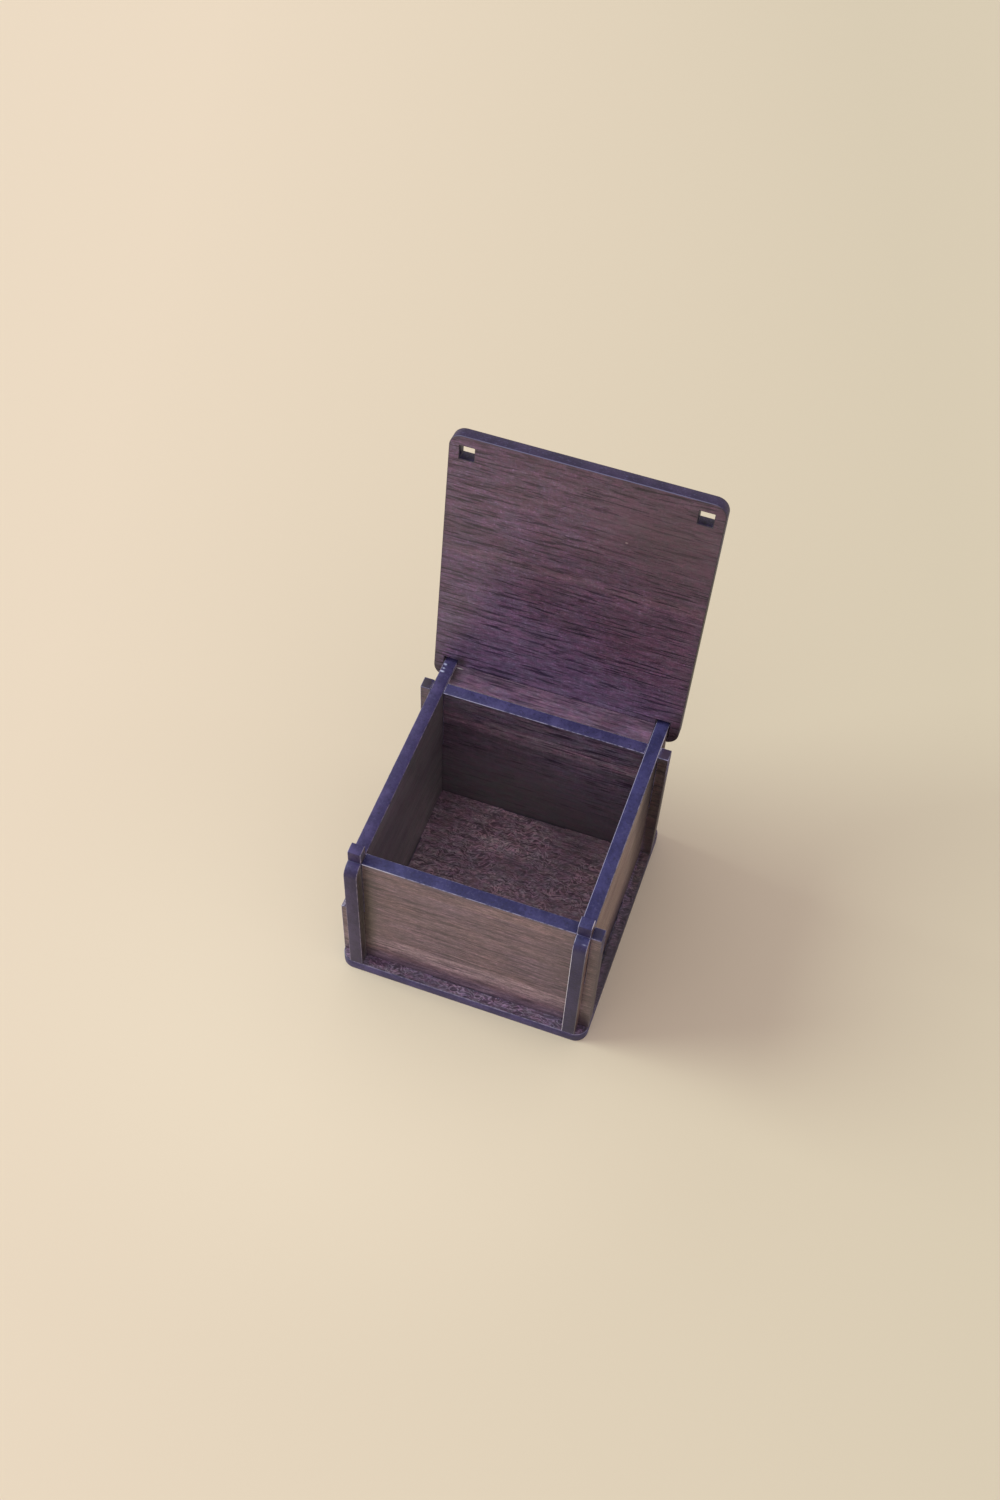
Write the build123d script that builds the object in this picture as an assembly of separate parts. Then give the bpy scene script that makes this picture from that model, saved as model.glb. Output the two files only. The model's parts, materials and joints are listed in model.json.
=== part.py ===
from build123d import *
import os
from math import cos, hypot, radians, sin

# A small trinket box cut from one 3 mm veneered sheet: a base plate, two cross panels, two side
# panels and a lid. The side panels drop into slots in the cross panels, so the ends of the cross
# panels stand out as ears. Each side panel has a tab in front, which comes up through a square
# hole in the closed lid, and a hook behind, on which the lid swings in a slot. A narrow rail joins
# the side panels behind the back panel.
# Millimetres. X to the right, Y to the rear, Z up. The origin is under the middle of the inner
# space, on the face that the box stands on. The lid is open, leaning on its hooks.

# Sheet and inner space
sheet = 3.0
inner_width = 48.0
inner_depth = 46.0
wall_height = 39.0

# How far the base plate goes past the walls
side_margin = 2.5
front_margin = 2.75
rear_margin = 6.0
plate_corner = 3.0

# Slots and tenons that hold the walls together
fit_gap = 0.05
lap_foot = 19.5
tenon_length = 16.0
tenon_recess = 0.1

# The front ends of the side panels
shoulder_radius = 2.5
tab_depth = 2.7
tab_height = 3.2
tab_round = 0.3

# The left ear of the front panel has snapped off at the foot of its slot
stump_drop = 0.9
stump_notch = 0.5

# Hinge
pivot_behind = 1.2
pivot_above = 1.0
hook_radius = 4.4
hook_mouth_round = 0.8
hook_tip_round = 0.3
open_lean = 8.0
tail_web = 1.5

# Gap between the lower edge of the rail behind the back panel and the open lid
rail_gap = 0.1

# Gaps that let the lid move
hole_play = 0.15
tab_play = 0.3
swing_play = 0.2
stop_gap = 0.15
seat_gap = 0.05

# Places that follow from these sizes
side_in = inner_width / 2
side_out = side_in + sheet
side_middle = side_in + sheet / 2
half_width = side_out + side_margin
cross_in = inner_depth / 2
cross_out = cross_in + sheet
cross_middle = cross_in + sheet / 2
front_edge = -(cross_out + front_margin)
rear_edge = cross_out + rear_margin
base_top = sheet
lap_top = base_top + lap_foot
wall_top = base_top + wall_height
pivot_y = rear_edge + pivot_behind
pivot_z = wall_top + pivot_above
lid_under = pivot_above - seat_gap
lid_over = sheet - lid_under
slot_end = hook_radius + swing_play
lid_tail = slot_end + tail_web
open_angle = 90 + open_lean


def area(low, high):
    """A rectangle in a sketch, from its low corner to its high corner."""
    middle = ((low[0] + high[0]) / 2, (low[1] + high[1]) / 2)
    return Pos(*middle) * Rectangle(high[0] - low[0], high[1] - low[1])


def rounded_plate(front, rear, bottom):
    """A sheet as wide as the ears, with its four corners rounded."""
    outline = area((-half_width, front), (half_width, rear))
    outline = fillet(outline.vertices(), plate_corner)
    return extrude(Plane.XY.offset(bottom) * outline, amount=sheet)


def base_plate():
    """The base, with a mortise for the tenon of each wall."""
    plate = rounded_plate(front_edge, rear_edge, 0)
    across = (tenon_length / 2 + fit_gap, sheet / 2 + fit_gap)
    for side in (-1, 1):
        for middle, half in (
            ((0, side * cross_middle), across),
            ((side * side_middle, 0), across[::-1]),
        ):
            low = (middle[0] - half[0], middle[1] - half[1])
            high = (middle[0] + half[0], middle[1] + half[1])
            plate -= extrude(area(low, high), amount=sheet)
    return plate


def tenon():
    """The foot of a wall, which fills its mortise down to just above the underside."""
    return area((-tenon_length / 2, tenon_recess), (tenon_length / 2, base_top))


def broken_ear():
    """What is missing from the front panel's left ear, over a torn and sloping break."""
    inner = -(side_out + fit_gap)
    kink = (inner - half_width) / 2
    return make_face(
        Polyline(
            (inner, lap_top),
            (kink, lap_top - stump_notch - stump_drop / 2),
            (kink - stump_notch, lap_top - stump_drop / 2),
            (-half_width, lap_top - stump_drop),
            (-half_width, wall_top),
            (inner, wall_top),
            close=True,
        )
    )


def cross_panel(outline_cut=None):
    """The outline of the front or back panel, slotted from its top edge for the side panels."""
    outline = area((-half_width, base_top), (half_width, wall_top)) + tenon()
    for side in (-1, 1):
        middle = side * side_middle
        reach = sheet / 2 + fit_gap
        outline -= area((middle - reach, lap_top), (middle + reach, wall_top))
    if outline_cut is not None:
        outline -= outline_cut
    return outline


def front_panel():
    return extrude(Plane.XZ.offset(cross_in) * cross_panel(broken_ear()), amount=sheet)


def back_panel():
    return extrude(Plane.XZ.offset(-cross_out) * cross_panel(), amount=sheet)


def front_tab():
    """The square tab over the front crossing, flush with the front panel's outer face."""
    tab = area((-cross_out, wall_top), (-cross_out + tab_depth, wall_top + tab_height))
    return fillet(tab.vertices().group_by(Axis.Y)[-1], tab_round)


def lean_line(height):
    """Where the hook's inner face lies at a height above the pivot, behind the open lid."""
    lean = radians(open_lean)
    return (lid_over + stop_gap + height * sin(lean)) / cos(lean)


def hook():
    """The rear hook: a disc about the pivot with a mouth that takes the open lid."""
    tip = sheet - pivot_above
    disc = Circle(hook_radius) & area((-hook_radius, -hook_radius), (hook_radius, tip))
    mouth = make_face(
        Polyline(
            (-2 * hook_radius, -pivot_above),
            (lean_line(-pivot_above), -pivot_above),
            (lean_line(hook_radius), hook_radius),
            (-2 * hook_radius, hook_radius),
            close=True,
        )
    )
    corner = mouth.vertices().sort_by_distance((lean_line(-pivot_above), -pivot_above))[0]
    shape = disc - fillet(corner, hook_mouth_round)
    shape = fillet(shape.vertices().group_by(Axis.Y)[-1], hook_tip_round)
    return Pos(pivot_y, pivot_z) * shape


def tail_pocket():
    """The hollow under the hook's arm, where the strip behind the lid's slot swings in."""
    lean = radians(open_lean)
    depth = lid_under * cos(lean) + lid_tail * sin(lean) + swing_play
    reach = hypot(lid_tail, max(lid_under, lid_over)) + swing_play
    ring = Circle(reach) - Circle(hook_radius)
    return Pos(pivot_y, pivot_z) * (ring & area((-depth, -reach), (reach, -pivot_above)))


def side_profile():
    """A side panel seen from its right: slotted from below, tab in front, hook behind."""
    outline = area((front_edge, base_top), (rear_edge, wall_top))
    shoulder = outline.vertices().sort_by_distance((front_edge, wall_top))[0]
    outline = fillet(shoulder, shoulder_radius)
    for side in (-1, 1):
        middle = side * cross_middle
        reach = sheet / 2 + fit_gap
        outline -= area((middle - reach, base_top), (middle + reach, lap_top))
    return outline - tail_pocket() + hook() + front_tab() + tenon()


def side_panel(left_face):
    return extrude(Plane.YZ.offset(left_face) * side_profile(), amount=sheet)


def rear_rail():
    """The narrow strip, flush with the wall tops, that fills the gap up to the open lid."""
    lean = radians(open_lean)
    half = side_in - fit_gap
    lid_face = (lid_under + rail_gap + (pivot_above + sheet) * sin(lean)) / cos(lean)
    strip = area((-half, cross_out), (half, pivot_y - lid_face))
    return extrude(Plane.XY.offset(wall_top - sheet) * strip, amount=sheet)


def closed_lid():
    """The lid lying on the walls, with its two square holes and two hinge slots."""
    bottom = wall_top + seat_gap
    plate = rounded_plate(front_edge, pivot_y + lid_tail, bottom)
    hole_front = -cross_out - tab_play
    hole_rear = -cross_out + tab_depth + tab_play
    for side in (-1, 1):
        middle = side * side_middle
        reach = sheet / 2 + hole_play
        for front, rear in (
            (hole_front, hole_rear),
            (pivot_y - hole_play, pivot_y + slot_end),
        ):
            cut = area((middle - reach, front), (middle + reach, rear))
            plate -= extrude(Plane.XY.offset(bottom) * cut, amount=sheet)
    return plate


def lid():
    """The lid swung open about its pivot, as the box is shown."""
    pivot = Axis((0, pivot_y, pivot_z), (1, 0, 0))
    return closed_lid().rotate(pivot, -open_angle)


pieces = {
    "base_plate": base_plate(),
    "front_panel": front_panel(),
    "back_panel": back_panel(),
    "left_side_panel": side_panel(-side_out),
    "right_side_panel": side_panel(side_in),
    "rear_rail": rear_rail(),
    "lid": lid(),
}

os.makedirs("parts", exist_ok=True)
for name, solid in pieces.items():
    solid.label = name
    export_step(solid, f"parts/{name}.step")
    box = solid.bounding_box()
    print(name, len(solid.solids()), "solid", round(solid.volume, 1), "mm3", box.min, box.max)
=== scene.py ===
import json
import random
from math import cos, pi, radians, sin, tan

import bmesh
import bpy
from mathutils import Matrix, Vector

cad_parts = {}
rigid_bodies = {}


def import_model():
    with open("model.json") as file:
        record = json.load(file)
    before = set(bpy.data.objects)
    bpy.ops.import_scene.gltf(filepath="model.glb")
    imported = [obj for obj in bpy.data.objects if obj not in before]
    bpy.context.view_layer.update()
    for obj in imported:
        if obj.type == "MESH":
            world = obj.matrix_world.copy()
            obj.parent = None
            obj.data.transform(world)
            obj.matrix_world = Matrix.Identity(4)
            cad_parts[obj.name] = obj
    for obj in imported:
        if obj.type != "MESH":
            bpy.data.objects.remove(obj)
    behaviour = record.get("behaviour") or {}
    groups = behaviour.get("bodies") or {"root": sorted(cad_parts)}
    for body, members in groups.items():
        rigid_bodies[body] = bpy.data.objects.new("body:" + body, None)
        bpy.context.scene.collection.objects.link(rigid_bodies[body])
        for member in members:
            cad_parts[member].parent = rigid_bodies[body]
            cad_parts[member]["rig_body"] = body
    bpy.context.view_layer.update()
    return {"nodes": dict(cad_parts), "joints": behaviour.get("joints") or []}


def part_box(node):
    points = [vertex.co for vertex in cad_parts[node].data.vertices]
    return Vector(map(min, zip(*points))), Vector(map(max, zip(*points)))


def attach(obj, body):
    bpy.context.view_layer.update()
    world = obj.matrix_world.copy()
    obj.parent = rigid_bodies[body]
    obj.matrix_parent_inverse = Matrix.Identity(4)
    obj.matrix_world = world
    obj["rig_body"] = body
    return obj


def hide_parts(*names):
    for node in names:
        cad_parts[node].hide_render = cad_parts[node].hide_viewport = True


MM = 0.001

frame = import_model()

# The hinge: where it is, and how far the open lid leans back from upright. All lengths are in millimetres
HINGE = frame["joints"][0]
PIVOT = Vector(HINGE["pos_m"]) / MM
OPEN_LEAN = radians(HINGE["range_deg"][1] - 90)

# The panels' sizes, from the CAD frame
BASE_LOW, BASE_HIGH = (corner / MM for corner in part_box("base_plate"))
HALF_WIDTH = BASE_HIGH.x
FRONT_EDGE = BASE_LOW.y
REAR_EDGE = BASE_HIGH.y
BOARD = BASE_HIGH.z
WALL_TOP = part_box("front_panel")[1].z / MM
INNER_HALF = 24.0
CROSS_OUT = 26.0
RAIL_REAR = 31.6

# The lid above and below its hinge, and how far its inner face is in front of the hinge
LID_REACH = 61.95
LID_TAIL = 6.1
LID_UNDER = 0.95

# Camera, fitted to the photograph's 1000 by 1500 pixels
PHOTO_HEIGHT_PX = 1500
FOCAL_PX = 1665.4
SENSOR_MM = 36.0
CAMERA_AT = Vector((57.25, -195.39, 341.55)) * MM
CAMERA_NEAR = 10.0
LOOK_AZIMUTH = radians(-17.04)
LOOK_DOWN = radians(54.02)
LOOK_ROLL = radians(3.05)

# Light, fitted to the shadow on the table: a broad low window on the left and an even room
WINDOW_AZIMUTH = radians(-98)
WINDOW_HEIGHT = radians(31)
WINDOW_WIDTH = radians(32)
WINDOW_SHARE = 0.33
WINDOW_COLOUR = (0.92, 1.06, 0.99)
ROOM_COLOUR = (0.70, 0.65, 0.675)

# The arrises are broken by this much, where two faces meet at more than this angle
ARRIS = 0.14
SHARP = radians(30)

# The kinds of noise that make up the veneer's figure. Each has its grains per millimetre along and across
# the wood's grain, its detail, its roughness, and a shift of the seed that sets it apart from the others
FIGURE = {
    "wave": (0.045, 0.07, 2, 0.5, 0.3),
    "bands": (0.02, 0.2, 3, 0.6, 1.1),
    "blotch": (0.07, 0.07, 3, 0.5, 2.7),
    "patches": (0.10, 0.30, 4, 0.6, 3.8),
    "streaks": (0.11, 1.1, 3, 0.6, 4.9),
    "long_dashes": (0.11, 1.8, 1, 0.4, 6.2),
    "short_dashes": (0.30, 2.2, 1, 0.4, 7.3),
    "fibres": (0.9, 4.2, 2, 0.7, 8.4),
    "thickets": (0.03, 0.14, 2, 0.5, 9.6),
    "flecks": (1.5, 2.2, 2, 0.6, 10.7),
    "bend": (0.2, 0.2, 2, 0.5, 11.0),
    "rings": (0.6, 1.9, 1, 0.5, 12.5),
    "curl_patch": (0.07, 0.07, 2, 0.5, 13.7),
    "scorch": (0.35, 0.35, 3, 0.6, 15.0),
    "ticks": (2.6, 0.7, 2, 0.5, 16.4),
    "greens": (0.45, 0.9, 3, 0.7, 17.5),
    "blues": (0.35, 0.6, 3, 0.7, 18.2),
}

# The levels of noise between which each part of the figure comes up
LEVELS = {
    "bands": (0.42, 0.6),
    "streaks": (0.53, 0.40),
    "light_streaks": (0.5, 0.64),
    "short_dashes": (0.59, 0.65),
    "fibres": (0.42, 0.58),
    "flecks": (0.58, 0.70),
    "ticks": (0.54, 0.66),
    "hue": (0.38, 0.62),
    "curl_patch": (0.35, 0.58),
    "gloss": (0.3, 0.7),
}
THICKET_RISE = 0.16
DASH_RISE = 0.045

# What each part of the figure multiplies the colour by, where it is strongest
TINTS = {
    "bands": (0.55, 0.5, 0.56),
    "streaks": (0.5, 0.46, 0.54),
    "light_streaks": (1.6, 1.62, 1.6),
    "long_dashes": (0.26, 0.23, 0.32),
    "short_dashes": (0.45, 0.42, 0.48),
    "fibres": (0.6, 0.58, 0.62),
    "flecks": (1.45, 1.45, 1.45),
    "ticks": (1.35, 1.35, 1.35),
    "curl_lines": (2.3, 2.35, 2.3),
    "curl_grooves": (0.6, 0.58, 0.62),
}
SHORT_DASHES = 0.8

# How much each kind of noise moves the wood between its warm and its violet tone
BLOTCH_CAST = 2.0
PATCH_CAST = 1.4

# Where the base plate's interior begins, in from its rim. It is painted paler there, as painted light that
# lifts the shade within the box
PAINTED_LIGHT_INSIDE_FROM = (5.0, 6.0)

# How far rows and scorched rims wander, and where a rim begins to fade
ROW_WANDER = 4.0
SCORCH_WANDER = 2.2
SCORCH_FULL = 0.2

# The curl: how far its rings are bent along and across the grain, and where its lines and grooves run
CURL_BEND = (4.0, 6.0)
CURL_TWIST = 0.6
CURL_LINE_AT = 0.5
CURL_GROOVE_AT = 0.36
CURL_LINE = (0.02, 0.07)
CURL_LEAST = 0.3

# The veneer's relief, and what it is made of, as shares of its depth
VENEER_RELIEF = 0.03
FIBRE_HEIGHT = 0.35
DASH_DEPTH = 0.8
CURL_HEIGHT = 0.8

# How ragged the spots on veneer are: the grains per millimetre of the noise, and its strength
SPOT_GRAINS = 1.2
SPOT_RAGGED = 0.35


def view_camera():
    """The photograph's camera, looking down on the box from its front right."""
    data = bpy.data.cameras.new("photo_camera")
    data.sensor_fit = "VERTICAL"
    data.sensor_height = SENSOR_MM
    data.lens = FOCAL_PX / PHOTO_HEIGHT_PX * SENSOR_MM
    data.clip_start = CAMERA_NEAR * MM
    camera = bpy.data.objects.new("photo_camera", data)
    bpy.context.scene.collection.objects.link(camera)
    ahead = Vector(
        (
            sin(LOOK_AZIMUTH) * cos(LOOK_DOWN),
            cos(LOOK_AZIMUTH) * cos(LOOK_DOWN),
            -sin(LOOK_DOWN),
        )
    )
    level = ahead.cross(Vector((0, 0, 1))).normalized()
    right = cos(LOOK_ROLL) * level + sin(LOOK_ROLL) * level.cross(ahead)
    up = right.cross(ahead)
    turn = Matrix((right, up, -ahead)).transposed()
    camera.matrix_world = Matrix.Translation(CAMERA_AT) @ turn.to_4x4()
    bpy.context.scene.camera = camera


class Graph:
    """A material's node tree, with a short call for each kind of node that it uses."""

    def __init__(self, name):
        self.material = bpy.data.materials.new(name)
        self.material.use_nodes = True
        self.tree = self.material.node_tree
        self.tree.nodes.clear()
        self.coordinates = self.tree.nodes.new("ShaderNodeTexCoord")
        self.at = self.vector("MULTIPLY", self.coordinates.outputs["Object"], (1 / MM,) * 3)

    def put(self, socket, value):
        if isinstance(value, bpy.types.NodeSocket):
            self.tree.links.new(value, socket)
        else:
            socket.default_value = value

    def math(self, what, a, b=0.0, c=0.0):
        new = self.tree.nodes.new("ShaderNodeMath")
        new.operation = what
        for socket, value in zip(new.inputs, (a, b, c)):
            self.put(socket, value)
        return new.outputs[0]

    def vector(self, what, a, b=(0.0, 0.0, 0.0)):
        new = self.tree.nodes.new("ShaderNodeVectorMath")
        new.operation = what
        self.put(new.inputs[0], a)
        self.put(new.inputs[1], b)
        return new.outputs["Value"] if what in ("DOT_PRODUCT", "LENGTH") else new.outputs[0]

    def join(self, x, y, z):
        new = self.tree.nodes.new("ShaderNodeCombineXYZ")
        for socket, value in zip(new.inputs, (x, y, z)):
            self.put(socket, value)
        return new.outputs[0]

    def span(self, value, low, high, to_low=0.0, to_high=1.0):
        """A value between two levels, brought smoothly to another two."""
        new = self.tree.nodes.new("ShaderNodeMapRange")
        new.interpolation_type = "SMOOTHSTEP"
        for name, given in (
            ("Value", value),
            ("From Min", low),
            ("From Max", high),
            ("To Min", to_low),
            ("To Max", to_high),
        ):
            self.put(new.inputs[name], given)
        return new.outputs["Result"]

    def clamp(self, value):
        """A value kept between zero and one."""
        return self.math("MINIMUM", self.math("MAXIMUM", value, 0.0), 1.0)

    def mix(self, share, a, b):
        new = self.tree.nodes.new("ShaderNodeMix")
        new.data_type = "RGBA"
        self.put(new.inputs["Factor"], share)
        for name, colour in (("A", a), ("B", b)):
            given = colour if isinstance(colour, bpy.types.NodeSocket) else (*colour, 1)
            socket = next(s for s in new.inputs if s.name == name and s.type == "RGBA")
            self.put(socket, given)
        return next(s for s in new.outputs if s.type == "RGBA")

    def noise(self, at, scale, detail=3.0, rough=0.5, distort=0.0, w=0.0):
        """Noise whose grains are longest where the three scales are smallest."""
        new = self.tree.nodes.new("ShaderNodeTexNoise")
        new.noise_dimensions = "4D"
        stretched = self.vector("MULTIPLY", at, scale)
        for name, given in (
            ("Vector", stretched),
            ("W", w),
            ("Scale", 1.0),
            ("Detail", detail),
            ("Roughness", rough),
            ("Distortion", distort),
        ):
            self.put(new.inputs[name], given)
        return new.outputs["Fac"]

    def even_noise(self, scale, detail, rough=0.5):
        """Noise with grains of one size in every direction."""
        return self.noise(self.at, (scale,) * 3, detail, rough)

    def spot(self, centre, radii, ragged, soft, share):
        """A share in a ragged spot about a place, which fades to nothing outside it."""
        rim = 1.1
        away = self.vector("SUBTRACT", self.at, centre)
        away = self.vector("DIVIDE", away, radii)
        away = self.math("ADD", self.vector("LENGTH", away), ragged)
        return self.span(away, rim - soft, rim + 0.3 * soft, share, 0)

    def spotted(self, colour, spots, ragged):
        """A colour with spots of other colours: each has a centre, radii, softness, share and colour."""
        for centre, radii, soft, share, tint in spots:
            colour = self.mix(self.spot(centre, radii, ragged, soft, share), colour, tint)
        return colour

    def finish(self, colour, roughness, height=None, depth=0.0, ior=1.5):
        shader = self.tree.nodes.new("ShaderNodeBsdfPrincipled")
        self.put(shader.inputs["Base Color"], colour)
        self.put(shader.inputs["Roughness"], roughness)
        shader.inputs["IOR"].default_value = ior
        if height is not None:
            bump = self.tree.nodes.new("ShaderNodeBump")
            bump.inputs["Strength"].default_value = 1.0
            bump.inputs["Distance"].default_value = depth
            self.put(bump.inputs["Height"], height)
            self.tree.links.new(bump.outputs[0], shader.inputs["Normal"])
        out = self.tree.nodes.new("ShaderNodeOutputMaterial")
        self.tree.links.new(shader.outputs[0], out.inputs["Surface"])
        return self.material


class Veneer(Graph):
    """Satin walnut-coloured veneer on one face, with its grain along one direction of that face."""

    def __init__(self, name, grain, across, rectangle, seed, look):
        super().__init__(name)
        self.seed = seed
        self.look = look
        self.u = self.vector("DOT_PRODUCT", self.at, grain)
        self.v = self.vector("DOT_PRODUCT", self.at, across)
        self.flat = self.join(self.u, self.v, 0.0)
        wavy = self.math("MULTIPLY_ADD", self.figure("wave", self.flat), look["wave"], self.v)
        self.wood = self.join(self.u, wavy, 0.0)
        self.from_edge = self.edge_distance(*rectangle)
        self.bands = self.figure("bands", self.wood)
        self.blotch = self.figure("blotch", self.flat)
        self.flecks = self.figure("flecks", self.flat)
        self.fibres = self.figure("fibres", self.wood)
        self.shown = self.figure_share()
        self.colour = self.tone()

    def edge_distance(self, u_low, u_high, v_low, v_high):
        """How far a place on the face is from the nearest side of its rectangle."""
        sides = []
        for place, low, high in ((self.u, u_low, u_high), (self.v, v_low, v_high)):
            from_middle = self.math("ABSOLUTE", self.math("SUBTRACT", place, (low + high) / 2))
            sides.append(self.math("SUBTRACT", (high - low) / 2, from_middle))
        return self.math("MINIMUM", *sides)

    def figure(self, kind, place, distort=0.0):
        """One kind of the figure's noise, different on every face."""
        along, over, detail, rough, shift = FIGURE[kind]
        return self.noise(place, (along, over, 0), detail, rough, distort, self.seed + shift)

    def figure_share(self):
        """How much of the figure shows: all of it, but for the places where the wood is plain."""
        shown = 1.0
        for centre, radii, share in self.look["plain_at"]:
            plain = self.spot(centre, radii, 0.0, 0.6, share)
            shown = self.math("MULTIPLY", shown, self.math("SUBTRACT", 1.0, plain))
        return shown

    def tone(self):
        """The wood's colour without its figure: two tones in patches, then rows and spots."""
        look = self.look
        cast, by_u, by_v = look["cast"]
        cast = self.math("MULTIPLY_ADD", self.v, by_v, cast)
        cast = self.math("MULTIPLY_ADD", self.u, by_u, cast)
        for noise, strength in (
            (self.blotch, BLOTCH_CAST),
            (self.figure("patches", self.wood), PATCH_CAST),
            (self.flecks, look["speckle"]),
        ):
            cast = self.math("MULTIPLY_ADD", self.math("SUBTRACT", noise, 0.5), strength, cast)
        colour = self.mix(self.clamp(cast), look["warm"], look["violet"])
        # Painted light: the interior is painted paler than the rim
        if look["inside"]:
            colour = self.mix(self.span(self.from_edge, *PAINTED_LIGHT_INSIDE_FROM), colour, look["inside"])
        for middle, half, share, tint in look["rows"]:
            away = self.math("SUBTRACT", self.v, middle + ROW_WANDER / 2)
            away = self.math("MULTIPLY_ADD", self.blotch, ROW_WANDER, away)
            row = self.span(self.math("ABSOLUTE", away), half * 0.4, half * 1.3, share, 0)
            colour = self.mix(row, colour, tint)
        ragged = self.math("MULTIPLY", self.even_noise(SPOT_GRAINS, 2), SPOT_RAGGED)
        return self.spotted(colour, look["spots"], ragged)

    def tint(self, part, mask, strength):
        """Tints the colour so far with one part of the figure, where its mask is one."""
        share = self.math("MULTIPLY", mask, self.math("MULTIPLY", self.shown, strength))
        self.colour = self.vector("MULTIPLY", self.colour, self.mix(share, (1, 1, 1), TINTS[part]))

    def grain(self):
        """The bands, streaks, dashes, fibres and flecks. Gives the mask of the long dashes."""
        look = self.look
        streaks = self.figure("streaks", self.wood)
        for part, noise in (
            ("bands", self.bands),
            ("streaks", streaks),
            ("light_streaks", streaks),
            ("fibres", self.fibres),
            ("flecks", self.flecks),
            ("ticks", self.figure("ticks", self.flat)),
        ):
            self.tint(part, self.span(noise, *LEVELS[part]), look[part])
        thicket_at, dash_at = look["thicket_at"], look["dash_at"]
        thickets = self.figure("thickets", self.flat)
        thickets = self.span(thickets, thicket_at, thicket_at + THICKET_RISE)
        long_dashes = self.figure("long_dashes", self.wood)
        long_dashes = self.span(long_dashes, dash_at, dash_at + DASH_RISE)
        long_dashes = self.math("MULTIPLY", long_dashes, thickets)
        short_dashes = self.figure("short_dashes", self.wood)
        short_dashes = self.span(short_dashes, *LEVELS["short_dashes"])
        self.tint("long_dashes", long_dashes, look["dashes"])
        self.tint("short_dashes", short_dashes, look["dashes"] * SHORT_DASHES)
        return long_dashes

    def hues(self):
        """Small shifts of the colour, between green and red and between yellow and blue."""
        green, blue = self.look["hue"]
        reds = self.span(self.figure("greens", self.flat), *LEVELS["hue"])
        blues = self.span(self.figure("blues", self.flat), *LEVELS["hue"])
        redder = self.mix(reds, (1 - green, 1 + green, 1), (1 + green, 1 - green, 1))
        bluer = self.mix(blues, (1, 1, 1 - blue), (1, 1, 1 + blue))
        shift = self.vector("MULTIPLY", redder, bluer)
        self.colour = self.vector("MULTIPLY", self.colour, shift)

    def contour(self, noise, level):
        """A line where the noise is at a level."""
        away = self.math("ABSOLUTE", self.math("SUBTRACT", noise, level))
        return self.span(away, *CURL_LINE, 1, 0)

    def curl(self):
        """The curled figure: pale lines and dark grooves in patches. Gives the mask of the lines."""
        bend = self.figure("bend", self.flat)
        along, over = CURL_BEND
        bent_u = self.math("MULTIPLY_ADD", bend, along, self.u)
        bent_v = self.math("MULTIPLY_ADD", bend, over, self.v)
        rings = self.figure("rings", self.join(bent_u, bent_v, 0.0), CURL_TWIST)
        patch = self.span(self.figure("curl_patch", self.flat), *LEVELS["curl_patch"])
        patch = self.math("MULTIPLY_ADD", patch, 1 - CURL_LEAST, CURL_LEAST)
        lines = self.contour(rings, CURL_LINE_AT)
        grooves = self.contour(rings, CURL_GROOVE_AT)
        self.tint("curl_lines", self.math("MULTIPLY", lines, patch), self.look["curl"])
        self.tint("curl_grooves", self.math("MULTIPLY", grooves, patch), self.look["curl"])
        return lines

    def scorch(self):
        """The ragged rim that the laser has browned."""
        look = self.look
        half = SCORCH_WANDER / 2
        away = self.figure("scorch", self.flat)
        away = self.math("MULTIPLY_ADD", away, -SCORCH_WANDER, self.from_edge)
        burnt = self.span(away, SCORCH_FULL - half, look["burn_reach"] - half, look["burn"], 0)
        self.colour = self.mix(burnt, self.colour, look["burn_colour"])

    def roughness(self):
        """The satin finish, a little duller in some bands and much duller in named places."""
        low, high = self.look["rough"]
        rough = self.span(self.bands, *LEVELS["gloss"], low, high)
        for centre, radii, dull in self.look["dull_at"]:
            spot = self.spot(centre, radii, 0.0, 0.8, 1.0)
            more = self.math("SUBTRACT", dull, rough)
            rough = self.math("MULTIPLY_ADD", spot, more, rough)
        return rough

    def made(self):
        """The finished material."""
        dents = self.math("MULTIPLY", self.grain(), -DASH_DEPTH)
        height = self.math("MULTIPLY_ADD", self.fibres, FIBRE_HEIGHT, dents)
        self.hues()
        if self.look["curl"]:
            height = self.math("MULTIPLY_ADD", self.curl(), CURL_HEIGHT, height)
        self.scorch()
        rough = self.roughness()
        return self.finish(self.colour, rough, height, VENEER_RELIEF * MM, self.look["ior"])


def walnut(warm, violet, **changes):
    """A look for the veneer: its two tones, and how strong each part of its figure is."""
    look = {
        "warm": warm,
        "violet": violet,
        "cast": (0.5, 0.0, 0.0),
        "inside": None,
        "rows": (),
        "spots": (),
        "plain_at": (),
        "dull_at": (),
        "wave": 0.9,
        "speckle": 1.0,
        "hue": (0.02, 0.02),
        "thicket_at": 0.36,
        "dash_at": 0.585,
        "bands": 0.35,
        "streaks": 0.5,
        "light_streaks": 0.35,
        "dashes": 0.8,
        "fibres": 0.7,
        "flecks": 0.5,
        "ticks": 0.3,
        "curl": 0.0,
        "burn": 0.35,
        "burn_reach": 1.3,
        "burn_colour": (0.03, 0.024, 0.04),
        "rough": (0.28, 0.37),
        "ior": 1.6,
    }
    return {**look, **changes}


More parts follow.
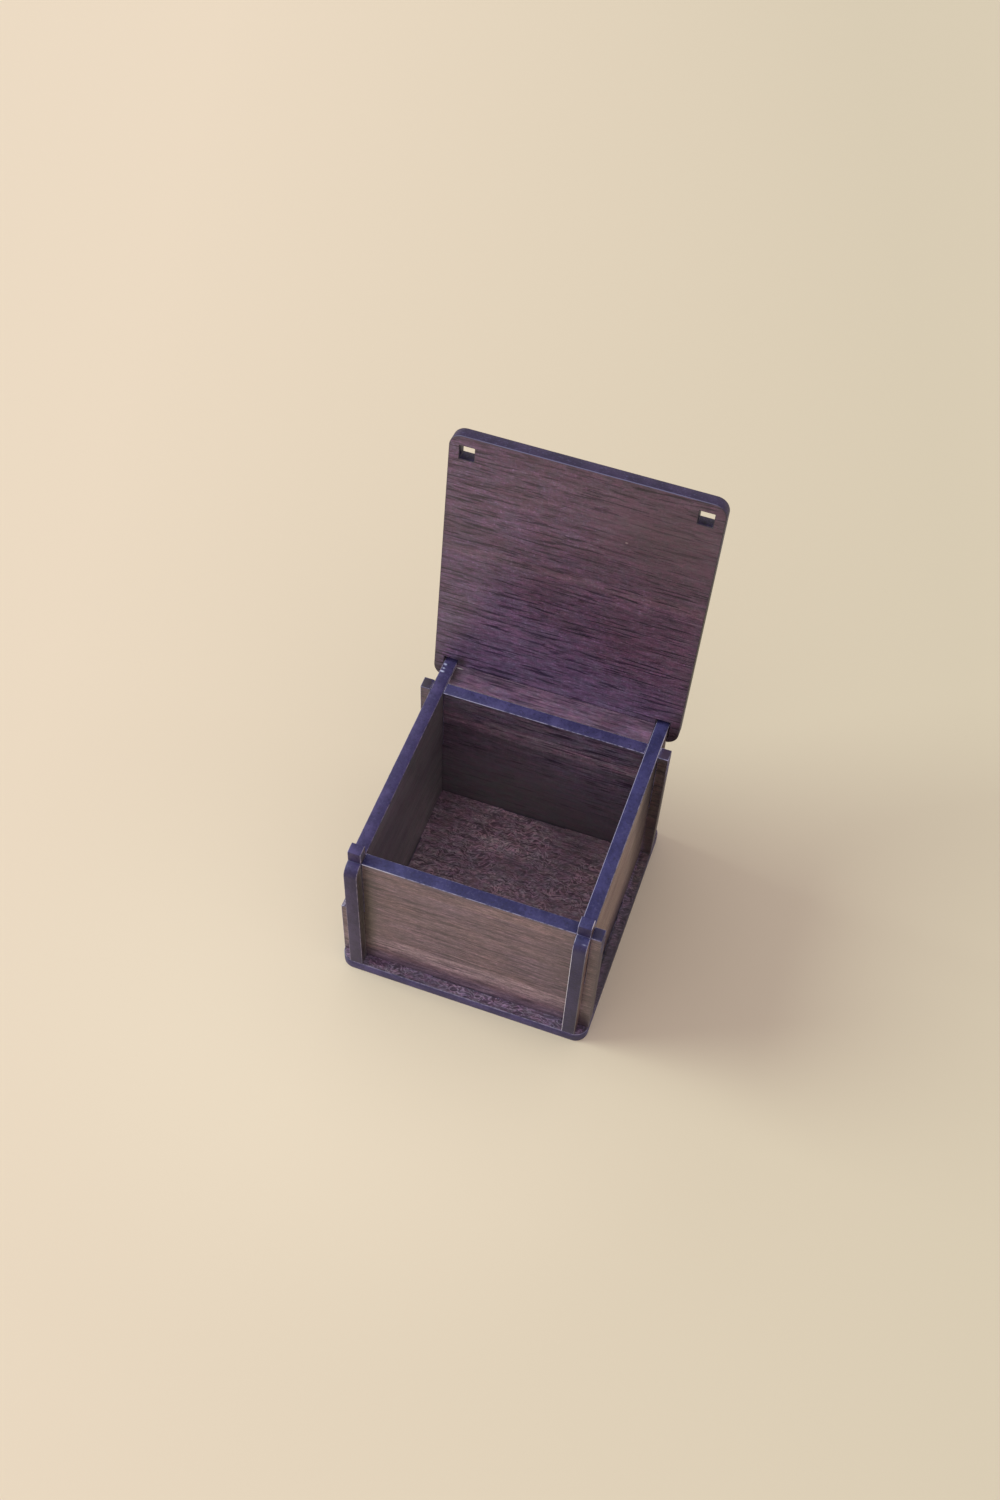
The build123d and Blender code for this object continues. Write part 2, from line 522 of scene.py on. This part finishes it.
# The laser-cut edge: its noise, its tones, and the levels and shares at which each tone comes up
EDGE_MOTTLE = (0.22, 4, 0.6)
EDGE_FINE = (1.7, 3, 0.65)
# The blue-violet of the dark and bright tones is painted reflection of a bluish room on dark scorched wood
EDGE_DARK = (0.027, 0.025, 0.088)
EDGE_BRIGHT = (0.047, 0.043, 0.135)
EDGE_TONES = (0.38, 0.62)
SOOT = (0.02, 0.018, 0.045)
SOOT_COMES = (0.52, 0.68, 0, 0.6)
SCUFF = (0.085, 0.08, 0.18)
SCUFF_COMES = (0.46, 0.32, 0, 0.5)
# Where an edge looks to the front it takes a tint of painted light, which sets it apart from the top edges
FRONT_LIGHT_COMES = (0.4, 0.9)
EDGE_GRAINS = 1.6
EDGE_RAGGED = 0.8
EDGE_RELIEF = 0.04
EDGE_ROUGH = 0.5
EDGE_IOR = 1.4


def cut_edge(name, tint, front_facing_light, spots):
    """The laser-cut edge: dark and mottled, with a paler scuff here and there. Its blue-violet cast is
    painted reflection of a bluish room, and the edges that look to the front get a tint of painted light.
    """
    graph = Graph(name)
    mottle = graph.even_noise(*EDGE_MOTTLE)
    fine = graph.even_noise(*EDGE_FINE)
    dark = tuple(a * b for a, b in zip(EDGE_DARK, tint))
    bright = tuple(a * b for a, b in zip(EDGE_BRIGHT, tint))
    colour = graph.mix(graph.span(mottle, *EDGE_TONES), dark, bright)
    colour = graph.mix(graph.span(fine, *SOOT_COMES), colour, SOOT)
    colour = graph.mix(graph.span(fine, *SCUFF_COMES), colour, SCUFF)
    # Painted light: each edge is tinted by how far it looks to the front
    facing = graph.vector("DOT_PRODUCT", graph.coordinates.outputs["Normal"], (0, -1, 0))
    painted_facing_light = graph.mix(graph.span(facing, *FRONT_LIGHT_COMES), (1, 1, 1), front_facing_light)
    colour = graph.vector("MULTIPLY", colour, painted_facing_light)
    ragged = graph.math("MULTIPLY", graph.even_noise(EDGE_GRAINS, 2), EDGE_RAGGED)
    colour = graph.spotted(colour, spots, ragged)
    return graph.finish(colour, EDGE_ROUGH, fine, EDGE_RELIEF * MM, EDGE_IOR)


# The arris: its noise, the levels at which its pale tone of wear and painted highlight comes up, and how
# ragged its spots are
ARRIS_NOISE = (0.5, 5, 0.7)
ARRIS_WEAR_AND_HIGHLIGHT = (0.40, 0.58)
ARRIS_RAGGED = 0.5
ARRIS_ROUGH = 0.45


def arris_wear_and_highlight(name, dull, bright, spots):
    """The arris, pale in places, partly as wear and partly as a painted highlight where it catches the
    light.
    """
    graph = Graph(name)
    wear_and_highlight = graph.even_noise(*ARRIS_NOISE)
    colour = graph.mix(graph.span(wear_and_highlight, *ARRIS_WEAR_AND_HIGHLIGHT), dull, bright)
    colour = graph.spotted(colour, spots, graph.math("MULTIPLY", wear_and_highlight, ARRIS_RAGGED))
    return graph.finish(colour, ARRIS_ROUGH)


FRONT_FACE, BACK_FACE, EDGE, PALE = range(4)


def slant_rear(mesh):
    """The rail's rear face, slanted back from its lower edge to lie along the open lid."""
    close = 0.1 * MM
    rear = max(vert.co.y for vert in mesh.verts)
    top = max(vert.co.z for vert in mesh.verts)
    for vert in mesh.verts:
        if vert.co.y > rear - close and vert.co.z > top - close:
            vert.co.y += BOARD * tan(OPEN_LEAN) * MM


SHAPED = {"rear_rail": slant_rear}


def dressed_panel(node, normal, materials):
    """A copy of a panel with broken arrises, its faces sorted by what covers them."""
    source = frame["nodes"][node]
    mesh = bmesh.new()
    mesh.from_mesh(source.data)
    bmesh.ops.remove_doubles(mesh, verts=mesh.verts, dist=0.001 * MM)
    bmesh.ops.dissolve_limit(mesh, angle_limit=radians(1), verts=mesh.verts, edges=mesh.edges)
    if node in SHAPED:
        SHAPED[node](mesh)
    sharp = [e for e in mesh.edges if len(e.link_faces) == 2 and e.calc_face_angle() > SHARP]
    made = bmesh.ops.bevel(
        mesh,
        geom=sharp,
        offset=ARRIS * MM,
        segments=2,
        profile=0.5,
        affect="EDGES",
        clamp_overlap=True,
    )
    arris = set(made["faces"])
    for face in mesh.faces:
        facing = face.normal.dot(normal)
        if face in arris:
            face.material_index = PALE
            face.smooth = True
        elif facing > 0.9:
            face.material_index = FRONT_FACE
        elif facing < -0.9:
            face.material_index = BACK_FACE
        else:
            face.material_index = EDGE
            face.smooth = True
    data = bpy.data.meshes.new(node + "_dressed")
    mesh.to_mesh(data)
    mesh.free()
    for material in materials:
        data.materials.append(material)
    piece = bpy.data.objects.new(node + "_dressed", data)
    bpy.context.scene.collection.objects.link(piece)
    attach(piece, source["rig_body"])
    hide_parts(node)


# The bare wood of the splinters: its fibres stand up, so they are longest along Z
TORN_GRAINS = (3.0, 3.0, 1.0)
TORN_TONES = (0.35, 0.65)
TORN_DARK = (0.26, 0.22, 0.28)
TORN_PALE = (0.75, 0.70, 0.80)
TORN_ROUGH = 0.7
TORN_RELIEF = 0.03


def torn_wood():
    """The pale bare wood of the splinters."""
    graph = Graph("torn_wood")
    fibre = graph.noise(graph.at, TORN_GRAINS, 3, 0.6)
    colour = graph.mix(graph.span(fibre, *TORN_TONES), TORN_DARK, TORN_PALE)
    return graph.finish(colour, TORN_ROUGH, fibre, TORN_RELIEF * MM)


# Splinters on the break across the front panel's left ear, which slopes up to the right
SPLINTERS = 26
BREAK_X = (-29.2, -27.3)
BREAK_Y = (-25.8, -23.2)
BREAK_FOOT = 21.5
BREAK_SLOPE = 0.35
SPLINTER_HEIGHT = (0.25, 0.75)
SPLINTER_WIDE = (0.10, 0.22)
SPLINTER_DEEP = (0.08, 0.16)
SPLINTER_LEAN = (-0.15, 0.15)
SPLINTER_ROOT = 0.4
SPLINTER_TIP = 0.3


def torn_splinters():
    """Short splinters that stand up from the break across the front panel's left ear."""
    draw = random.Random(7)
    mesh = bmesh.new()
    for _ in range(SPLINTERS):
        x = draw.uniform(*BREAK_X)
        y = draw.uniform(*BREAK_Y)
        foot = BREAK_FOOT + BREAK_SLOPE * (x + HALF_WIDTH)
        height = draw.uniform(*SPLINTER_HEIGHT)
        wide = draw.uniform(*SPLINTER_WIDE)
        deep = draw.uniform(*SPLINTER_DEEP)
        lean = draw.uniform(*SPLINTER_LEAN)
        corners = [
            mesh.verts.new(Vector((x + a * wide, y + b * deep, foot - SPLINTER_ROOT)) * MM)
            for a, b in ((-1, -1), (1, -1), (1, 1), (-1, 1))
        ]
        left_tip, right_tip = (
            mesh.verts.new(Vector((x + lean + a * wide * SPLINTER_TIP, y, foot + height)) * MM)
            for a in (-1, 1)
        )
        mesh.faces.new(corners[::-1])
        mesh.faces.new((corners[0], corners[1], right_tip, left_tip))
        mesh.faces.new((corners[1], corners[2], right_tip))
        mesh.faces.new((corners[2], corners[3], left_tip, right_tip))
        mesh.faces.new((corners[3], corners[0], left_tip))
    data = bpy.data.meshes.new("torn_splinters")
    mesh.to_mesh(data)
    mesh.free()
    data.materials.append(torn_wood())
    piece = bpy.data.objects.new("torn_splinters", data)
    bpy.context.scene.collection.objects.link(piece)
    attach(piece, frame["nodes"]["front_panel"]["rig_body"])


# The table is painted paler on the left of the picture than on the right, as painted light from the window
# on the left, and palest in a painted patch of light at the front left, which lifts the shade about the
# box.
# Its face is a hair below the box, to keep clear of the underside
TABLE_SIZE = 6000.0
TABLE_DROP = 0.02
TABLE_LEFT = (0.835, 0.700, 0.535)
TABLE_RIGHT = (0.690, 0.600, 0.445)
TABLE_REACH = 120.0
TABLE_ROUGH = 0.9
PAINTED_POOL_COLOUR = (0.87, 0.745, 0.57)
PAINTED_POOL_AT = (-30.0, -45.0, 0.0)
PAINTED_POOL_RADII = (75, 60, 10)


def table():
    """The plain table top that the box stands on."""
    bpy.ops.mesh.primitive_plane_add(size=TABLE_SIZE * MM, location=(0, 0, -TABLE_DROP * MM))
    floor = bpy.context.object
    floor.name = "table"
    graph = Graph("table_top")
    # Painted light: paler towards the window on the left
    along = graph.vector("DOT_PRODUCT", graph.at, (cos(LOOK_AZIMUTH), -sin(LOOK_AZIMUTH), 0))
    share = graph.clamp(graph.math("MULTIPLY_ADD", along, 0.5 / TABLE_REACH, 0.5))
    colour = graph.mix(share, TABLE_LEFT, TABLE_RIGHT)
    # Painted light: a patch that lifts the shade about the box
    painted_pool = graph.spot(PAINTED_POOL_AT, PAINTED_POOL_RADII, 0.0, 0.9, 0.8)
    colour = graph.mix(painted_pool, colour, PAINTED_POOL_COLOUR)
    floor.data.materials.append(graph.finish(colour, TABLE_ROUGH))


def room_light():
    """An even room, and a broad sun for the window."""
    world = bpy.data.worlds.new("room")
    world.use_nodes = True
    world.node_tree.nodes["Background"].inputs["Color"].default_value = (*ROOM_COLOUR, 1)
    world.node_tree.nodes["Background"].inputs["Strength"].default_value = 1.0
    bpy.context.scene.world = world
    lamp = bpy.data.lights.new("window", "SUN")
    lamp.angle = WINDOW_WIDTH
    lamp.energy = WINDOW_SHARE * pi / sin(WINDOW_HEIGHT)
    lamp.color = WINDOW_COLOUR
    window = bpy.data.objects.new("window", lamp)
    bpy.context.scene.collection.objects.link(window)
    direction = Vector(
        (
            sin(WINDOW_AZIMUTH) * cos(WINDOW_HEIGHT),
            cos(WINDOW_AZIMUTH) * cos(WINDOW_HEIGHT),
            sin(WINDOW_HEIGHT),
        )
    )
    window.rotation_euler = direction.to_track_quat("Z", "Y").to_euler()


# Directions of the grain and across it, and the rectangle of each kind of panel in them. The lid's
# rectangle goes past its lower rim, which isn't scorched
X, Y, Z = Vector((1, 0, 0)), Vector((0, 1, 0)), Vector((0, 0, 1))
LID_UP = Vector((0, sin(OPEN_LEAN), cos(OPEN_LEAN)))
LID_FRONT = Vector((0, -cos(OPEN_LEAN), sin(OPEN_LEAN)))
LID_ZERO = PIVOT.dot(LID_UP)
PAST_RIM = 4.0
CROSS = (-HALF_WIDTH, HALF_WIDTH, BOARD, WALL_TOP)
SIDE = (FRONT_EDGE, REAR_EDGE, BOARD, WALL_TOP)
BASE = (-HALF_WIDTH, HALF_WIDTH, FRONT_EDGE, REAR_EDGE)
RAIL = (-INNER_HALF, INNER_HALF, CROSS_OUT, RAIL_REAR)
LID = (-HALF_WIDTH, HALF_WIDTH, LID_ZERO - LID_TAIL - PAST_RIM, LID_ZERO + LID_REACH)


def on_lid(x, up):
    """A place on the lid's inner face, by its height up the lid from the hinge."""
    return tuple(PIVOT + X * x + LID_UP * up + LID_FRONT * LID_UNDER)


# The looks. A row has its place across the grain, half its width, its share and its colour. A spot has its
# centre, radii, softness, share and colour, where the wood is plain a centre, radii and share, and where it
# is dull a centre, radii and roughness
OUTER = walnut(
    (0.215, 0.125, 0.147),
    (0.185, 0.112, 0.158),
    dashes=0.7,
    fibres=1.0,
    flecks=0.8,
    streaks=0.45,
    light_streaks=0.55,
    bands=0.25,
    dash_at=0.575,
    rows=(
        (39.5, 1.8, 0.4, (0.28, 0.17, 0.17)),
        (10.7, 2.9, 0.8, (0.345, 0.232, 0.275)),
        (28.0, 1.6, 0.2, (0.14, 0.08, 0.085)),
        (4.8, 1.9, 0.8, (0.215, 0.15, 0.21)),
    ),
)
FRONT_OUTER = {
    **OUTER,
    "spots": (
        # Painted shadow of the left panel's front end, along the left of the front
        ((-23.3, -26.0, 22.0), (2.7, 2, 28), 0.8, 0.9, (0.075, 0.05, 0.038)),
        # Painted shade on the right ear, in the shadow of the right panel's front end
        ((28.4, -26.0, 20.0), (1.8, 2, 26), 0.6, 0.5, (0.15, 0.095, 0.09)),
        ((22.5, -26.0, 31.0), (9, 2, 13), 0.9, 0.5, (0.14, 0.085, 0.115)),
        # Painted shade at the foot of the right ear
        ((28.0, -26.0, 6.0), (2.4, 2, 7), 0.9, 0.8, (0.06, 0.038, 0.04)),
    ),
}
RIGHT_OUTER = walnut(
    (0.268, 0.17, 0.133),
    (0.243, 0.156, 0.149),
    ior=1.45,
    dashes=0.4,
    streaks=0.5,
    spots=(
        # Painted shade: darker by the rear ear, along the foot, and towards the rear
        ((27.0, 21.0, 34.0), (3.0, 16.0, 40.0), 0.9, 0.95, (0.045, 0.03, 0.032)),
        ((27.0, 0.0, 3.0), (3.0, 40.0, 13.0), 0.9, 0.9, (0.05, 0.034, 0.04)),
        ((27.0, 13.0, 22.0), (3.0, 14.0, 12.0), 0.9, 0.4, (0.11, 0.07, 0.06)),
    ),
    dull_at=(((27.0, 24.0, 24.0), (3.0, 13.0, 60.0), 0.85),),
)
# Painted light: the faces within the box are given paler tones, to lift their shade
INNER = walnut(
    (0.18, 0.128, 0.15),
    (0.16, 0.114, 0.172),
    dashes=1.0,
    streaks=0.5,
    flecks=0.9,
    ticks=0.8,
    hue=(0.08, 0.04),
    rows=(
        (34.0, 2.4, 0.6, (0.335, 0.213, 0.262)),
        (30.6, 1.0, 0.35, (0.08, 0.055, 0.07)),
    ),
    spots=(
        # Painted shade on the back panel's right ear, behind the right panel
        ((29.0, 23.0, 24.0), (2.6, 3.0, 30.0), 0.3, 0.9, (0.082, 0.053, 0.045)),
        ((-8.0, 23.0, 7.0), (34, 3, 19), 0.9, 0.85, (0.195, 0.175, 0.18)),
    ),
    plain_at=(((-8.0, 23.0, 8.0), (36, 3, 20), 0.65),),
)
# Painted light: paler tones that lift the shade of the left wall's inner face
LEFT_INNER = walnut(
    (0.183, 0.16, 0.155),
    (0.176, 0.147, 0.163),
    hue=(0.06, 0.04),
    dashes=0.25,
    streaks=0.3,
    bands=0.25,
    spots=(
        ((-24.0, 6.0, 6.0), (3, 30, 20), 0.9, 0.9, (0.34, 0.31, 0.295)),
        # Painted shade on the left panel's front end, which faces away from the light
        ((-24.0, -27.8, 22.0), (2, 2, 28), 0.4, 0.9, (0.06, 0.045, 0.038)),
    ),
)
LID_INNER = walnut(
    (0.134, 0.071, 0.116),
    (0.163, 0.096, 0.187),
    cast=(1.32, -0.014, -0.013),
    dashes=0.88,
    streaks=0.42,
    light_streaks=0.4,
    flecks=0.8,
    ticks=0.6,
    hue=(0.07, 0.02),
    wave=0.6,
    speckle=1.6,
    thicket_at=0.30,
    dash_at=0.575,
    rows=(
        (LID_ZERO + 38.0, 2.4, 0.3, (0.08, 0.042, 0.07)),
        (LID_ZERO + 26.5, 2.4, 0.25, (0.07, 0.038, 0.07)),
        (LID_ZERO + 9.0, 1.2, 0.25, (0.08, 0.045, 0.08)),
        (LID_ZERO + 33.0, 1.4, 0.3, (0.19, 0.11, 0.13)),
    ),
    spots=(
        # Painted light: paler across the lid's foot, lifting the shade above the rail
        (on_lid(0, 2), (40, 40, 13), 0.9, 0.5, (0.18, 0.125, 0.225)),
        (on_lid(-14, 13), (17, 40, 10), 0.9, 0.4, (0.21, 0.14, 0.235)),
        (on_lid(10.4, 46.6), (0.35, 1, 0.22), 0.3, 0.9, (0.5, 0.42, 0.40)),
        (on_lid(20, 49), (16, 30, 14), 0.9, 0.85, (0.090, 0.047, 0.070)),
        # Painted shadow of the left hook, then painted shade at the lid's lower corners by the hinges
        (on_lid(-23.0, 0.0), (2.4, 9, 2.6), 0.9, 0.95, (0.035, 0.024, 0.03)),
        (on_lid(29.5, -6.0), (4.2, 9, 10), 0.9, 0.9, (0.026, 0.014, 0.017)),
        (on_lid(-29.5, -4.0), (3.4, 9, 7), 0.9, 0.6, (0.05, 0.035, 0.05)),
    ),
    burn=0.15,
    plain_at=((on_lid(20, 49), (18, 30, 10), 0.4),),
)
FLOOR = walnut(
    (0.175, 0.118, 0.172),
    (0.155, 0.106, 0.177),
    # Painted light: the interior is painted paler than the rim
    inside=(0.29, 0.195, 0.24),
    spots=(
        ((17.0, -14.0, 3.0), (15, 16, 2), 0.9, 0.5, (0.16, 0.10, 0.14)),
        ((-5.0, 18.0, 3.0), (16, 9, 2), 0.9, 0.5, (0.36, 0.24, 0.27)),
        ((2.0, 5.0, 3.0), (22, 7, 2), 0.9, 0.4, (0.21, 0.14, 0.185)),
        ((18.0, 12.0, 3.0), (9, 15, 2), 0.9, 0.5, (0.235, 0.143, 0.165)),
        ((-20.0, 8.0, 3.0), (7, 20, 2), 0.9, 0.45, (0.21, 0.145, 0.165)),
        # Painted shade on the strip beside the right wall
        ((30.0, 0.0, 3.0), (4, 40, 3), 0.8, 0.9, (0.07, 0.046, 0.059)),
        ((28.5, 20.0, 3.0), (1.6, 10.5, 3), 0.4, 0.8, (0.10, 0.065, 0.065)),
        # Painted shade in the crease at the foot of the right wall
        ((27.1, -9.0, 3.0), (0.7, 19.0, 1), 0.6, 0.9, (0.015, 0.01, 0.015)),
        ((28.2, 10.2, 3.0), (1.2, 0.35, 1), 0.5, 0.9, (0.015, 0.01, 0.015)),
    ),
    curl=1.1,
    hue=(0.07, 0.06),
    dashes=0.45,
    streaks=0.3,
    bands=0.4,
)
RAIL_FACE = walnut(
    (0.235, 0.128, 0.175),
    (0.205, 0.135, 0.23),
    hue=(0.06, 0.03),
    dashes=0.7,
    streaks=0.6,
    light_streaks=0.5,
    thicket_at=0.25,
    dash_at=0.57,
    burn=0.0,
    # Painted shade, darker at the rear where the rail meets the lid
    rows=((31.2, 2.0, 0.7, (0.16, 0.095, 0.145)),),
    spots=(
        # Painted shadow of the left hook, then a painted glint of light through its slot
        ((-24.6, 29.0, 42.0), (3.4, 5, 1), 0.8, 1.0, (0.028, 0.018, 0.016)),
        ((-22.8, 31.1, 42.0), (1.0, 0.2, 1), 0.5, 1.0, (0.5, 0.42, 0.42)),
    ),
)

# For each panel: which way its face looks, its grain, the direction across it and its rectangle, then the
# looks of its face and of its back
PANELS = {
    "base_plate": (Z, (X, Y, BASE), FLOOR, OUTER),
    "front_panel": (Y, (X, Z, CROSS), INNER, FRONT_OUTER),
    "back_panel": (Y, (X, Z, CROSS), OUTER, INNER),
    "left_side_panel": (X, (Y, Z, SIDE), LEFT_INNER, OUTER),
    "right_side_panel": (X, (Y, Z, SIDE), RIGHT_OUTER, INNER),
    "rear_rail": (Z, (X, Y, RAIL), RAIL_FACE, OUTER),
    "lid": (LID_FRONT, (X, LID_UP, LID), LID_INNER, OUTER),
}

# Scuffs, pale arrises and plain edges that turn up in several places. The pale tones are partly wear and
# scuffs and partly painted highlight, and the plain edge's blue is painted reflection
LILAC_SCUFF_AND_HIGHLIGHT = (0.48, 0.50, 0.72)
WORN_AND_LIT = (0.34, 0.31, 0.47)
WORN_OFF_AND_LIT = (0.62, 0.57, 0.66)
DULL = (0.06, 0.055, 0.12)
EDGE_BLUE = (0.042, 0.038, 0.115)

# For each panel: the arris where it is dull, where it is bright with wear and painted highlight, and its
# spots
ARRISES = {
    "base_plate": (
        DULL,
        (0.24, 0.21, 0.33),
        # Painted shade on the right side, which faces away from the light
        (((29.5, 4.0, 1.5), (1.6, 44, 4), 0.3, 1.0, (0.03, 0.024, 0.042)),),
    ),
    "front_panel": (
        DULL,
        (0.27, 0.25, 0.38),
        (
            # A painted highlight along the top of the front at the left
            ((-20.0, -26.0, 42.0), (5.5, 1, 1), 0.5, 0.55, WORN_OFF_AND_LIT),
            # Painted shade on the right ear's side, which faces away from the light
            ((29.5, -24.5, 22.0), (1.2, 4, 32), 0.3, 1.0, (0.09, 0.068, 0.075)),
            ((-25.5, -24.5, 42.0), (1.9, 3, 1), 0.3, 1.0, EDGE_BLUE),
            ((25.5, -24.5, 42.0), (1.9, 3, 1), 0.3, 1.0, EDGE_BLUE),
        ),
    ),
    "back_panel": (
        DULL,
        (0.30, 0.27, 0.42),
        (
            ((-15.0, 23.0, 42.0), (7, 1.0, 1.0), 0.7, 0.8, WORN_AND_LIT),
            # Painted shade on the right ear's side, which faces away from the light
            ((29.5, 24.5, 20.0), (1.2, 4, 29), 0.3, 1.0, (0.03, 0.02, 0.024)),
        ),
    ),
    "left_side_panel": (
        DULL,
        (0.24, 0.20, 0.28),
        (
            ((-25.5, -26.0, 42.0), (2.0, 1.0, 1.0), 0.3, 1.0, EDGE_BLUE),
            ((-24.7, -26.0, 45.2), (0.9, 0.6, 0.6), 0.5, 1.0, WORN_OFF_AND_LIT),
            ((-26.9, -25.6, 45.2), (0.5, 0.9, 0.6), 0.5, 0.8, WORN_AND_LIT),
        ),
    ),
    "right_side_panel": (
        DULL,
        (0.27, 0.25, 0.38),
        (
            ((25.5, -26.0, 42.2), (1.7, 1.0, 1.6), 0.3, 1.0, EDGE_BLUE),
            # Painted highlights along the inner arrises of the top and the front edge
            ((24.0, 0.0, 42.0), (0.6, 40, 1.2), 0.3, 0.75, WORN_AND_LIT),
            ((24.0, -28.75, 20.0), (0.6, 1.2, 26), 0.3, 0.95, WORN_OFF_AND_LIT),
            # Painted shade on the outer arris of the front edge, away from the light
            ((27.0, -28.75, 20.0), (0.6, 1.2, 26), 0.3, 0.9, (0.11, 0.10, 0.11)),
            ((27.0, -24.4, 45.2), (0.8, 1.5, 1.5), 0.3, 1.0, WORN_OFF_AND_LIT),
            ((27.0, 26.0, 42.0), (0.8, 6.0, 1.2), 0.5, 0.9, WORN_OFF_AND_LIT),
        ),
    ),
    "rear_rail": ((0.10, 0.065, 0.09), (0.17, 0.11, 0.16), ()),
    "lid": (
        # Painted shade: the lid's arris is kept dark for its right side, away from the light; its top is
        # pale with wear and painted highlight
        (0.03, 0.022, 0.032),
        (0.06, 0.045, 0.065),
        ((on_lid(0, LID_REACH), (40, 1, 1.0), 0.4, 0.9, (0.14, 0.13, 0.24)),),
    ),
}

# For each panel: what tints its cut edges, what tints those that look to the front as painted light, and
# its spots
EDGES = {
    "base_plate": (
        (1.1, 1.05, 1.1),
        (1.35, 1.15, 1.15),
        (
            # Painted shade on the right edge, which faces away from the light
            ((29.5, 2.0, 1.5), (1.6, 35, 4), 0.3, 0.9, (0.022, 0.018, 0.034)),
            ((27.5, -28.75, 1.5), (8, 3, 3), 0.9, 0.6, (0.022, 0.018, 0.045)),
        ),
    ),
    "front_panel": (
        (1.06, 1.08, 1.14),
        (1.0, 1.0, 1.0),
        (
            # Painted shade on the right ear's side, which faces away from the light
            ((29.5, -24.5, 20.0), (1.2, 4, 30), 0.3, 1.0, (0.075, 0.055, 0.062)),
            ((28.2, -24.5, 42.0), (2.0, 3, 1), 0.5, 0.8, (0.05, 0.045, 0.095)),
            ((-28.4, -24.5, 21.5), (2.2, 4, 2), 0.4, 0.9, (0.22, 0.18, 0.24)),
        ),
    ),
    "back_panel": (
        (1.59, 1.46, 1.37),
        (1.0, 1.0, 1.0),
        (
            ((28.4, 24.5, 42.0), (2.6, 4, 3), 0.5, 1.0, (0.045, 0.027, 0.055)),
            ((-28.4, 24.5, 42.0), (2.6, 4, 3), 0.5, 1.0, (0.05, 0.038, 0.055)),
            # Painted shade on the right ear's side, which faces away from the light
            ((29.5, 24.5, 20.0), (1.2, 4, 24), 0.3, 1.0, (0.035, 0.024, 0.028)),
        ),
    ),
    "left_side_panel": (
        (1.61, 1.34, 1.24),
        (0.66, 0.585, 0.62),
        (
            ((-26.5, 28.9, 42.0), (0.85, 0.42, 0.5), 0.6, 1.0, LILAC_SCUFF_AND_HIGHLIGHT),
            ((-26.4, 29.9, 42.0), (0.6, 0.4, 0.5), 0.6, 0.8, LILAC_SCUFF_AND_HIGHLIGHT),
            ((-26.4, 31.1, 42.0), (0.7, 0.45, 0.5), 0.6, 0.9, LILAC_SCUFF_AND_HIGHLIGHT),
            # Painted light in the hook's mouth, lifting its shade
            ((-25.5, 32.6, 42.8), (2.0, 0.7, 0.7), 0.4, 0.9, (0.24, 0.17, 0.23)),
        ),
    ),
    "right_side_panel": (
        (1.04, 1.05, 1.12),
        (0.67, 0.54, 0.59),
        (
            ((25.5, -28.75, 37.0), (3, 3, 7.0), 0.9, 0.8, (0.042, 0.036, 0.10)),
            # A painted highlight on the shoulder of the front edge, then painted light in the hook's mouth,
            # lifting its shade
            ((26.2, -27.7, 41.5), (0.9, 0.22, 0.4), 0.9, 0.45, LILAC_SCUFF_AND_HIGHLIGHT),
            ((25.5, 32.6, 42.8), (2.0, 0.7, 0.7), 0.4, 0.9, (0.24, 0.17, 0.23)),
        ),
    ),
    "rear_rail": ((1.2, 1.1, 1.1), (1.0, 1.0, 1.0), ()),
    "lid": (
        (0.87, 0.60, 0.56),
        (1.0, 1.0, 1.0),
        (
            # Painted light on the sides of the hinge slots, lifting their shade
            (on_lid(-25.5, -1), (3, 4, 4), 0.3, 0.9, (0.16, 0.11, 0.15)),
            (on_lid(25.5, -1), (3, 4, 4), 0.3, 0.9, (0.16, 0.11, 0.15)),
            (on_lid(-25.5, 57.9), (3, 4, 3), 0.3, 1.0, (0.014, 0.012, 0.022)),
            (on_lid(25.5, 57.9), (3, 4, 3), 0.3, 1.0, (0.014, 0.012, 0.022)),
            # Painted shade on the lid's right edge, away from the light
            (on_lid(30.0, 24), (2, 40, 36), 0.4, 1.0, (0.02, 0.013, 0.013)),
        ),
    ),
}

# What sets the noise of one panel apart from the next, and of a back from its face
PANEL_SEED = 20.0
BACK_SEED = 10.0

view_camera()
for number, (name, (normal, place, front, back)) in enumerate(PANELS.items()):
    seed = PANEL_SEED * number
    materials = (
        Veneer(f"{name}_face", *place, seed, front).made(),
        Veneer(f"{name}_back", *place, seed + BACK_SEED, back).made(),
        cut_edge(f"{name}_edge", *EDGES[name]),
        arris_wear_and_highlight(f"{name}_arris", *ARRISES[name]),
    )
    dressed_panel(name, normal, materials)
torn_splinters()
table()
room_light()

scene = bpy.context.scene
scene.view_settings.view_transform = "Standard"
